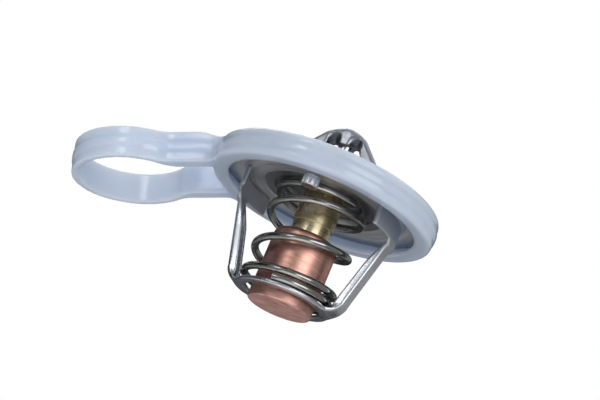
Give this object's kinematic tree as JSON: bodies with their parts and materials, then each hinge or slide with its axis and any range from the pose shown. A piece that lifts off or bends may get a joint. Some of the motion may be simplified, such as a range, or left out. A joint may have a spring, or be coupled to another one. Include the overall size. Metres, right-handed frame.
{
  "type": "engine thermostat",
  "caption": "Wax-pellet insert thermostat of an engine cooling circuit: flanged valve with bridge, spring and copper cup in a silicone gasket with a second port loop.",
  "frame": {"origin": "on the axis, in the plane of the flange's outer underside, at the middle of the housing pocket", "axes": "+Z along the axis towards the bridge, +X away from the gasket's second loop; the legs lie in XZ"},
  "size_m": [0.0993, 0.0606, 0.0508],
  "materials": {
    "silicone": "matte, translucent",
    "stainless_sheet": "pressed sheet, satin",
    "spring_steel": "dark drawn wire",
    "brass": "turned",
    "copper": "drawn copper, brushed round",
    "black_rubber": "matte",
    "wax": "solid wax with metal powder",
    "white_plastic": "matte",
    "polished_steel": "ground and polished",
    "plated_steel": "bright, knurled head"
  },
  "bodies": {
    "frame": {"gasket": "silicone", "flange": "stainless_sheet", "bridge": "stainless_sheet", "lower_frame": "stainless_sheet", "piston": "polished_steel", "backup_disc": "white_plastic", "spring": "spring_steel"},
    "actuator": {"valve_disc": "stainless_sheet", "retaining_ring": "spring_steel", "guide": "brass", "piston_seal": "black_rubber", "cup": "copper", "wax": "wax", "diaphragm": "black_rubber", "plug": "black_rubber"},
    "vent_pin": {"jiggle_pin": "plated_steel"}
  },
  "joints": [
    {"name": "valve_lift", "type": "slide", "parent": "frame", "child": "actuator", "axis": [0, 0, -1], "range_m": [0, 0.008], "stiffness_N_per_m": 5000, "springref_m": -0.004, "deforming": ["spring"]},
    {"name": "vent_jiggle", "type": "slide", "parent": "frame", "child": "vent_pin", "axis": [0, 0, 1], "range_m": [0, 0.0022]}
  ]
}
